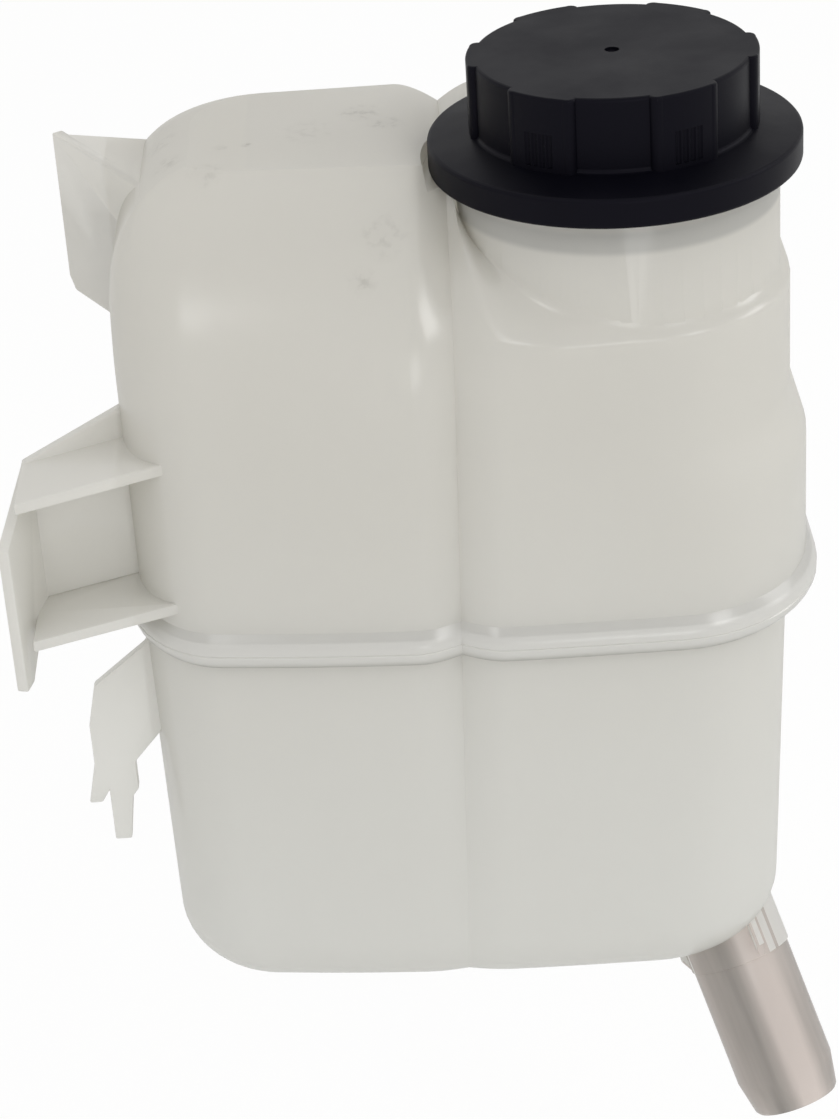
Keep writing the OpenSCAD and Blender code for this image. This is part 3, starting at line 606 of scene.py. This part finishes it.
# %% [markdown]
# ## Upper shell
# One moulding carries the neck with its thread, the side bracket, the upper fin
# and the return nipple. Each is drawn as its own closed shape and united with the
# body before the chamber is cut, just as the cavities of a mould add up.

# %% Side bracket, fin and nipple
PLATE, BRACKET_SLOPE, BRACKET_DEEP = 2.6, 12.5, 20.6
POCKET = Vector((-115, -17, -71.5))  # the middle of the bracket's pocket
NIPPLE_AT, NIPPLE_R, NIPPLE_BORE = (-66, BACK, -20), 4, 2.4
BACKWARD = Matrix.Rotation(-math.pi / 2, 4, "X")  # turns the neck axis to the back


def flat(points, y):
    """Points of (x, z) pairs in an upright plane at y."""
    return [Vector((x, y, z)) for x, z in points]


def bracket_parts():
    """The plates of the side bracket about the middle of its pocket."""
    left, right, back, top, step = -11.8, 20.0, 11.6, 15.0, 11
    slope = math.tan(math.radians(BRACKET_SLOPE))
    near = right - 5
    rise = slope * near
    parts = [plate(flat([(left, -top - PLATE), (near, -top + rise), (near, top + rise + step),
                         (left, top)], back), (0, -PLATE, 0))]
    for z in (-top - PLATE, top):
        outline = [(left, z + left * slope), (right, z + right * slope),
                   (right, z + right * slope + PLATE), (left, z + left * slope + PLATE)]
        parts.append(plate(flat(outline, back), (0, -BRACKET_DEEP, 0)))
    foot, toe = -top - 2 * PLATE, -top - 2 * PLATE - 10
    side = [(0, top), (BRACKET_DEEP, top - step), (BRACKET_DEEP, toe),
            (BRACKET_DEEP - 1.6 * PLATE, toe), (BRACKET_DEEP / 3, foot), (0, foot)]
    wall = plate([Vector((0, -d, z)) for d, z in side], (-PLATE, 0, 0))
    turned(wall, Matrix.Rotation(math.radians(-14), 4, "Z"),
           Matrix.Translation((left + PLATE, back, 0)))
    parts.append(wall)
    return [turned(soften(part, 0.5, segments=2), Matrix.Translation(POCKET))
            for part in parts]


def fin_parts():
    """The upright web that runs back and out, and its top flange."""
    outer, back, top = LEFT - 12.8, 43.0, -2.9
    foot, inside = top - 36, LEFT + 10
    tip, heel_tip = Vector((outer, back, top)), Vector((outer, back, foot + PLATE))
    root_front, root_back = Vector((inside, 5.6, top)), Vector((inside, back - 8, top))
    heel = Vector((outer + PLATE / 2, back - PLATE, foot))
    root_low = heel + 0.62 * (root_front - tip)
    web = plate([tip, root_front, root_low, heel, heel_tip], PLATE * Vector((0.84, 0.54, 0)))
    flange = plate([root_front, tip, root_back], (0, 0, -PLATE))
    return [soften(web, 0.45, segments=2), soften(flange, 0.45, segments=2)]


def nipple():
    """The hose nipple on the back, with a tapered lead."""
    body = lathe([(0, -WALL), (NIPPLE_R, -WALL), (NIPPLE_R, 17), (3.45, 19.7), (3.15, 20),
                  (0, 20)], 40)
    return turned(body, BACKWARD, Matrix.Translation(NIPPLE_AT))


# %% Thread
def ridge(root, crest, start, pitch=4.0, turns=1.5):
    """A thread's ridge, from its cross-section spun along a helix."""
    outline = [(r, start + pitch * h) for r, h in
               ((root, -0.27), (crest, -0.13), (crest, 0.13), (root, 0.27))]
    return spun(outline, math.tau * turns, int(48 * turns), pitch * turns)


# %% Upper shell
# The screw tube, its bore, the room under the flange and the neck's depth in the body
TUBE_R, BORE_R, ROOM_R, NECK_FOOT = 23.4, 20.5, 39.3, -45
SHELF, TUBE_TOP = -1.5, 15
outer_skin = loft([upper_ring(z) for z in upper_levels])
inner_skin = loft([shifted(upper_ring(SEAM, WALL), -2)]
                  + [shifted(upper_ring(z, WALL), -WALL) for z in upper_levels[1:]])
shoulder = lathe([(0, NECK_FOOT), (NECK_R, NECK_FOOT), (NECK_R, -2.4), (NECK_R - 0.4, -1.6),
                  (32.8, SHELF), (32.8, 0.9), (32.3, 1.4), (0, 1.4)], 144)
upper_rim = rim([(2.2, 0), (2.4, 0.2), (2.35, 1.1), (1.9, 2.0), (1.2, 2.9), (0.5, 3.8),
                 (-0.6, 5)])
upper = combine(outer_skin, "DIFFERENCE", rod(ROOM_R, SHELF, TOP + 1))
upper = combine(upper, "UNION", shoulder, rod(TUBE_R, -1, TUBE_TOP), upper_rim,
                nipple(), *fin_parts(), *bracket_parts())
chamber = combine(inner_skin, "DIFFERENCE", rod(ROOM_R + WALL, SHELF - WALL, TOP + 1))
throat = combine(lathe([(0, NECK_FOOT), (NECK_R - WALL, NECK_FOOT),
                        (NECK_R - WALL, SHELF - WALL), (30.2, SHELF - WALL), (30.2, -1.2),
                        (0, -1.2)], 144), "DIFFERENCE", rod(TUBE_R, -8, 5))
chamber = combine(chamber, "DIFFERENCE", rod(TUBE_R, -8, TUBE_TOP + 1))
pipe = turned(rod(NIPPLE_BORE, -3 * WALL, 22, 40), BACKWARD, Matrix.Translation(NIPPLE_AT))
upper = combine(upper, "DIFFERENCE", chamber, throat, rod(BORE_R, -9, TUBE_TOP + 1), pipe)
upper = combine(upper, "UNION", ridge(23.0, 25.0, 5.5))
upper_piece = piece_of(upper, "upper_half_shell", "tank", "tank", milky)
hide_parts("upper_shell")

# %% [markdown]
# ## Lower shell
# The lower half is a plain tub with a rounded base. Its outlet spigot leaves the
# base corner at a slant, with three short ribs at its root and a tapered lead for
# the hose, and a flat hook for a hose hangs under the weld.

# %% Drawn polypropylene of the spigot, with painted highlight and shade
SPIGOT_AT = Vector((17, -3, BASE + 9))
SPIGOT_BACK, SPIGOT_SIDE = -24.7, -19.6  # how far it slants, in degrees
STRETCH = 14  # how much longer the streaks are than wide
STREAK, FINE_STREAK = 6, 0.8  # their widths
spigot_turn = (Matrix.Rotation(math.radians(SPIGOT_BACK), 4, "X"),
               Matrix.Rotation(math.radians(SPIGOT_SIDE), 4, "Y"),
               Matrix.Translation(SPIGOT_AT))
spigot_axis = (spigot_turn[1] @ spigot_turn[0]).to_3x3() @ Vector((0, 0, -1))
spigot_root = NECK + SPIGOT_AT * MM


def streaked_with_painted_light(name, low, high, rough, veil, clear):
    """Polypropylene that was drawn along a core: clearer, with streaks lengthwise, and a
    painted highlight right of the middle and painted shade left of it.
    """
    material, tree = new_material(name)
    place = node(tree, "TexCoord").outputs["Object"]
    side = spigot_axis.cross(Vector((0, 1, 0))).normalized()
    sockets = []
    for direction in (side, spigot_axis.cross(side), spigot_axis / STRETCH):
        dot = node(tree, "VectorMath", {0: place, 1: direction}, operation="DOT_PRODUCT")
        sockets.append(dot.outputs["Value"])
    drawn = node(tree, "CombineXYZ", dict(zip("XYZ", sockets))).outputs[0]
    streaks = node(tree, "TexNoise", {"Vector": drawn}, Scale=per_mm(STREAK), Detail=3)
    fine = node(tree, "TexNoise", {"Vector": drawn}, Scale=per_mm(FINE_STREAK),
                Detail=2)
    across = node(tree, "Math", {0: sockets[0], 1: spigot_root.dot(side)},
                  operation="SUBTRACT").outputs[0]
    # Painted shade runs left of the middle and a painted highlight right of it
    masks = {}
    for mask, value, start_at, end_at, start, end in (
            ("bright", across, -4 * MM, 4 * MM, 0, 1),
            ("right", across, 5.5 * MM, 10 * MM, 1, 0.4),
            ("left", across, -9 * MM, -1 * MM, 0.6, 0),
            ("wander", streaks.outputs["Fac"], 0.3, 0.7, -0.2, 0.2)):
        masks[mask] = node(tree, "MapRange", {"Value": value}, interpolation_type="SMOOTHSTEP",
                           From_Min=start_at, From_Max=end_at, To_Min=start,
                           To_Max=end).outputs["Result"]
    lit = node(tree, "Math", {0: masks["bright"], 1: masks["right"], 2: masks["left"]},
               operation="MULTIPLY_ADD")
    lit = node(tree, "Math", {0: lit.outputs[0], 1: masks["wander"]}, operation="ADD",
               use_clamp=True)
    colour = node(tree, "Mix", {0: lit.outputs[0], 6: hexed(low), 7: hexed(high)},
                  data_type="RGBA").outputs[2]
    bump = node(tree, "Bump", {"Height": fine.outputs["Fac"]}, Strength=0.12,
                Distance=0.1 * MM).outputs["Normal"]
    skin = node(tree, "BsdfPrincipled", {"Base Color": colour, "Normal": bump},
                Roughness=rough, IOR=1.49, Transmission_Weight=clear)
    glow = node(tree, "BsdfTranslucent", {"Color": colour, "Normal": bump})
    both = node(tree, "MixShader", {1: skin.outputs[0], 2: glow.outputs[0]}, Fac=veil)
    node(tree, "OutputMaterial", {"Surface": both.outputs[0]})
    return material


# The darker colour is painted shade and the lighter one a painted highlight
thin_wall = streaked_with_painted_light("drawn_clear_polypropylene", "b2aea9", "f2eae5", 0.2, 0.35, 0.4)
print(thin_wall.name, "has", len(thin_wall.node_tree.nodes), "nodes")

# %% Lower shell
SPIGOT_R, SPIGOT_BORE, SPIGOT_LONG, COLLAR_R, COLLAR = 11.4, 8.6, 55, 11.8, 19
SPIGOT_RIBS, RIB_THICK = 3, 2


def spigot_parts():
    """The outlet tube with its collar and tapered lead, and the ribs at its root."""
    parts = [lathe([(0, 0), (COLLAR_R, 0), (COLLAR_R, 0.2 - COLLAR), (SPIGOT_R, -COLLAR),
                    (SPIGOT_R, -47), (9.95, -54.4), (9.5, -SPIGOT_LONG), (0, -SPIGOT_LONG)],
                   72)]
    for i in range(SPIGOT_RIBS):
        outline = [(0, 0), (13.2, 0), (13.2, -16), (11.6, -COLLAR), (0, -COLLAR)]
        rib = plate(flat(outline, -RIB_THICK / 2), (0, RIB_THICK, 0))
        spread = Matrix.Rotation(math.radians(60 + 360 / SPIGOT_RIBS * i), 4, "Z")
        parts.append(turned(soften(rib, 0.5, segments=2), spread))
    return [turned(part, *spigot_turn) for part in parts]


def hook_part():
    """The flat hook with two prongs that hangs under the weld."""
    root, tip, top = LEFT + PLATE, LEFT - 16, SEAM - 2.3
    fork = top - 33
    wide = 3.6
    second = tip + 1.3 * wide
    inner = second + 1.8 * wide
    outline = [(root, top), (root - PLATE, top - wide), (tip + 4.2, top - 13.2),
               (tip + 2.1, top - 23.1), (tip + 2.1, fork), (tip, fork - 10),
               (tip + 0.8 * wide, fork - 10), (second, fork - 7), (second, fork - 20),
               (second + wide, fork - 20), (second + 1.4 * wide, fork - 9), (inner, fork - 7),
               (inner, fork), (root - PLATE / 2, fork + 2 * wide), (root, fork + 2.8 * wide)]
    return soften(plate(flat(outline, -12), (0, -PLATE, 0)), 0.4, segments=2)


lower_rim = rim([(-0.6, -4.2), (0.5, -3.4), (1.3, -2.7), (2.0, -1.8), (2.35, -1), (2.4, -0.2),
                 (2.2, 0)])
spigot_hole = lathe([(0, 6), (SPIGOT_BORE, 6), (SPIGOT_BORE, -SPIGOT_LONG - 1),
                     (0, -SPIGOT_LONG - 1)], 72)
lower = combine(loft(lower_rings()), "UNION", lower_rim, hook_part(), *spigot_parts())
lower = combine(lower, "DIFFERENCE", loft([shifted(ring, WALL) for ring in lower_rings(WALL)]),
                turned(spigot_hole, *spigot_turn))
lower_piece = piece_of(lower, "lower_half_shell", "tank", "tank", milky, thin_wall)
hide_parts("lower_shell")

# The spigot's faces take the thin-walled finish, from THIN_FROM along its axis
THIN_FROM, THIN_R = 13, 15
for face in lower_piece.data.polygons:
    along = (face.center - spigot_root).dot(spigot_axis)
    away = (face.center - spigot_root - along * spigot_axis).length
    if along > THIN_FROM * MM and away < THIN_R * MM:
        face.material_index = 1

# %% [markdown]
# ## Screw cap
# The cap is black glass-filled polyamide with a fine spark-eroded texture. Its
# profile is spun, and six raised panels with rounded edges and fine flutes make the
# grip. The print on the real cap isn't repeated.

# %% Screw cap
FLANGE_R, FLANGE_HIGH, GRIP_R, CAP_HIGH, CAP_WALL = 37.8, 6, 28, 22.7, 2.5
# The raised panels: how many, half their width in degrees, their radii and their edges
PANELS, HALF, SUNK, RISEN, EDGE_R = 6, 12, 26.5, 29.2, 1.7
FIRST_PANEL = 25 - 90
# Flutes in each panel: how many, how far apart in degrees, and between which heights
FLUTES, FLUTE_STEP, FLUTE_LOW, FLUTE_TOP = 4, 3.2, 8.4, 15.2


def panel_turn(i, turn=0.0):
    """The turn of a raised panel, the first a little right of the front."""
    return Matrix.Rotation(math.radians(360 * i / PANELS + FIRST_PANEL + turn), 4, "Z")


GRIT, WORN = 0.35, 14  # widths of the eroded texture and of the worn patches


def cap_black():
    """Black polyamide, spark-eroded mould texture: dull, with a faint sheen."""
    material, tree = new_material("textured_black_polyamide")
    place = node(tree, "TexCoord").outputs["Object"]
    grit = node(tree, "TexNoise", {"Vector": place}, Scale=per_mm(GRIT), Detail=3)
    worn = node(tree, "TexNoise", {"Vector": place}, Scale=per_mm(WORN), Detail=4)
    colour = node(tree, "Mix", {0: worn.outputs["Fac"], 6: hexed("030308"),
                                7: hexed("07070e")}, data_type="RGBA")
    gloss = node(tree, "MapRange", {"Value": worn.outputs["Fac"]},
                 From_Min=0.3, From_Max=0.7, To_Min=0.42, To_Max=0.52)
    bump = node(tree, "Bump", {"Height": grit.outputs["Fac"]}, Strength=0.35,
                Distance=0.05 * MM)
    shader = node(tree, "BsdfPrincipled",
                  {"Base Color": colour.outputs[2], "Roughness": gloss.outputs["Result"],
                   "Normal": bump.outputs["Normal"]}, IOR=1.5, Specular_IOR_Level=0.1,
                  Specular_Tint=(0.86, 0.82, 1, 1))
    node(tree, "OutputMaterial", {"Surface": shader.outputs["BSDF"]})
    return material


black = cap_black()
shell = lathe([(0, CAP_HIGH - CAP_WALL), (25.4, CAP_HIGH - CAP_WALL), (25.4, 2.9),
               (FLANGE_R - 2, 2.9), (FLANGE_R - 2, 0), (FLANGE_R, 0), (FLANGE_R, FLANGE_HIGH),
               (GRIP_R, 7.7), (GRIP_R, CAP_HIGH), (0, CAP_HIGH)], 144)
soften(shell, 0.7, lambda e: max(v.co.xy.length for v in e.verts) > GRIP_R - 0.5)
panels, flutes = [], []
for i in range(PANELS):
    sector = spun([(SUNK, FLANGE_HIGH), (RISEN, FLANGE_HIGH), (RISEN, CAP_HIGH),
                   (SUNK, CAP_HIGH)], math.radians(2 * HALF), 10)
    soften(sector, 0.5, lambda e: min(v.co.z for v in e.verts) > CAP_HIGH - 1
           and min(v.co.xy.length for v in e.verts) > GRIP_R)
    panels.append(turned(sector, panel_turn(i, -HALF)))
    for side in (-HALF, HALF):
        edge = soften(rod(EDGE_R, FLANGE_HIGH, CAP_HIGH, 36), 0.5,
                      lambda e: e.verts[0].co.z > CAP_HIGH - 1)
        panels.append(turned(edge, Matrix.Translation((27.6, 0, 0)), panel_turn(i, side)))
    for k in range(FLUTES):
        flutes.append(turned(rod(0.7, FLUTE_LOW, FLUTE_TOP, 12),
                             Matrix.Translation((RISEN + 0.3, 0, 0)),
                             panel_turn(i, (k - (FLUTES - 1) / 2) * FLUTE_STEP)))
# Rings under the top that hold the insert: inner and outer radius, foot and head
lips = [lathe([(inner, foot), (outer, foot), (outer, head), (inner, head), (inner, foot)])
        for inner, outer, foot, head in ((20.1, 21.9, 16, 20.4), (18.8, 20.3, 16, 16.8),
                                         (16.0, 18.5, 19, 20.4))]
cap = combine(shell, "UNION", *panels, *lips)
dimple = soften(rod(1.5, CAP_HIGH - 0.9, 24, 24), 0.3)
cap = combine(cap, "DIFFERENCE", *flutes, dimple)
cap = combine(cap, "UNION", ridge(25.8, 23.8, 3.5))
cap_piece = piece_of(cap, "screw_cap", "cap", "cap", black, sharp=12)
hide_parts("cap_shell")

# %% [markdown]
# ## Valve insert
# The insert and its valves are hidden in the neck. All but the two springs are right
# as they are, so they stay and only get their finishes. Each finish has two close
# shades and a grain, so that no part looks like one flat colour.

# %% Valve insert


def plain_finish(name, low, high, rough, grain, **settings):
    """One finish for a small part: two close shades and a fine grain."""
    material, tree = new_material(name)
    place = node(tree, "TexCoord").outputs["Object"]
    noise = node(tree, "TexNoise", {"Vector": place}, Scale=per_mm(grain), Detail=3)
    colour = node(tree, "Mix", {0: noise.outputs["Fac"], 6: hexed(low), 7: hexed(high)},
                  data_type="RGBA")
    bump = node(tree, "Bump", {"Height": noise.outputs["Fac"]}, Strength=0.1,
                Distance=0.03 * MM)
    shader = node(tree, "BsdfPrincipled",
                  {"Base Color": colour.outputs[2], "Normal": bump.outputs["Normal"]},
                  Roughness=rough, **settings)
    node(tree, "OutputMaterial", {"Surface": shader.outputs["BSDF"]})
    return material


# Moulded acetal is waxy and ivory, nitrile rubber is dull and black, drawn spring
# steel has a satin shine, and turned brass is yellow with a soft lustre
finishes = {
    "insert": plain_finish("moulded_ivory_acetal", "d8d4c6", "e0dccf", 0.4, 3.0),
    "seal": plain_finish("moulded_nitrile_rubber", "141414", "1c1c1b", 0.6, 0.8),
    "spring": plain_finish("drawn_spring_steel", "a9abad", "bcbec0", 0.3, 0.5, Metallic=1.0),
    "brass": plain_finish("turned_brass", "b8964e", "c9a75c", 0.32, 0.6, Metallic=1.0)}
for part in frame["record"]["subparts"]:
    if part["material_slot"] in finishes:
        solid = frame["nodes"][part["node"]]
        solid.data.materials.clear()
        solid.data.materials.append(finishes[part["material_slot"]])
        print(part["node"], "gets", finishes[part["material_slot"]].name)

# %% [markdown]
# ## Springs
# The two springs are wound from drawn wire. A coil could be a curve with a bevel,
# but a round section spun along a helix is closed from the start. Each spring rides
# on the body at its fixed end and stands in for a solid of the model, which is hidden.

# %% Springs
PLATE_TOP, LID, CLIP = 3.8, 14.1, 7.8  # heights of the springs' seats
PRESSURE_LIFT, VACUUM_DROP = 3, 1.5  # how far the valves travel


def coil(middle, wire, low, high, turns=4):
    """A round wire wound between two heights, with square-cut ends."""
    angles = [math.tau * k / 12 for k in range(12)]
    outline = [(middle + wire * math.cos(a), low + wire * (1 + math.sin(a))) for a in angles]
    return spun(outline, math.tau * turns, 32 * turns, high - low - 2 * wire)


def shortens(piece, stands_for, length, travel):
    """Hides the solid that a spring stands for and gives the spring its own mesh."""
    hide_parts(stands_for)
    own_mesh(piece)
    print(stands_for, "shortens from", round(length, 1), "to", round(length - travel, 1), "mm")


spring = piece_of(coil(9.4, 0.35, PLATE_TOP, LID), "pressure_coil", "valve_insert", "spring",
                  finishes["spring"])
shortens(spring, "pressure_spring", LID - PLATE_TOP, PRESSURE_LIFT)
spring = piece_of(coil(2.81, 0.25, PLATE_TOP, CLIP), "vacuum_coil", "pressure_valve", "spring",
                  finishes["spring"])
shortens(spring, "vacuum_spring", CLIP - PLATE_TOP, VACUUM_DROP)

# %% [markdown]
# ## Floor and light
# The photograph is a cut-out on white under broad, soft light. A large pale floor
# lies under the tank and shows white to the camera, yet keeps the tank's shadow. Four
# soft lamps stand where their mirror images fall on the tank's highlights.

# %% Floor
ROOM_UNDER, FLOOR_HALF = 0.05, 6  # in metres
WHITE = (1, 1, 1, 1)
floor_mesh = bpy.data.meshes.new("floor")
bm = bmesh.new()
bmesh.ops.create_grid(bm, x_segments=1, y_segments=1, size=FLOOR_HALF)
bmesh.ops.translate(bm, verts=bm.verts, vec=(0, 0, cad_low.z - ROOM_UNDER))
bm.to_mesh(floor_mesh)
bm.free()
floor = bpy.data.objects.new("floor", floor_mesh)
scene.collection.objects.link(floor)
# Matt paper, nearly white, that the camera and reflections see as plain white
paper, tree = new_material("pale_paper_floor")
ray = node(tree, "LightPath")
seen = node(tree, "Math", {0: ray.outputs["Is Camera Ray"], 1: ray.outputs["Is Glossy Ray"]},
            operation="MAXIMUM")
seen = node(tree, "Math", {0: seen.outputs[0], 1: ray.outputs["Is Transmission Ray"]},
            operation="MAXIMUM")
portion = node(tree, "Math", {0: seen.outputs[0], 1: 0.9}, operation="MULTIPLY")
matte = node(tree, "BsdfDiffuse", Color=hexed("f4f4f2"))
white = node(tree, "Emission", Color=WHITE, Strength=1.0)
shown = node(tree, "MixShader", {0: portion.outputs[0], 1: matte.outputs[0],
                                 2: white.outputs[0]})
node(tree, "OutputMaterial", {"Surface": shown.outputs[0]})
floor_mesh.materials.append(paper)
print("floor lies", round(ROOM_UNDER / MM), "mm under the tank")

# %% Studio light
LIGHT = 0.9  # how strongly the room lights the tank; the camera sees it as white
world = bpy.data.worlds.new("studio")
scene.world = world
world.use_nodes = True
room = world.node_tree
room.nodes.clear()
ray = node(room, "LightPath")
level = node(room, "Math", {0: ray.outputs["Is Camera Ray"], 1: 1 - LIGHT, 2: LIGHT},
             operation="MULTIPLY_ADD")
sky = node(room, "Background", {"Strength": level.outputs[0]}, Color=WHITE)
node(room, "OutputWorld", {"Surface": sky.outputs[0]})


def softbox(name, place, aim, size, power):
    """A square lamp that faces a point, each given in millimetres about the neck. Its
    side is in metres and its power in watts."""
    lamp = bpy.data.objects.new(name, bpy.data.lights.new(name, "AREA"))
    lamp.data.size, lamp.data.energy = size, power
    scene.collection.objects.link(lamp)
    lamp.location = NECK + Vector(place) * MM
    lamp.rotation_euler = (Vector(aim) - Vector(place)).to_track_quat("-Z", "Y").to_euler()
    print(name, "lamp stands", round(Vector(place).length), "mm from the neck")


softbox("right", (835, 60, 330), (0, -20, -20), 0.35, 1.35)
softbox("left", (-414, -593, 594), (-60, -20, -20), 0.18, 0.35)
softbox("middle", (500, -540, 493), (-40, -27, -20), 0.24, 0.9)
softbox("front", (140, -850, 160), (-20, -20, -60), 0.3, 0.55)
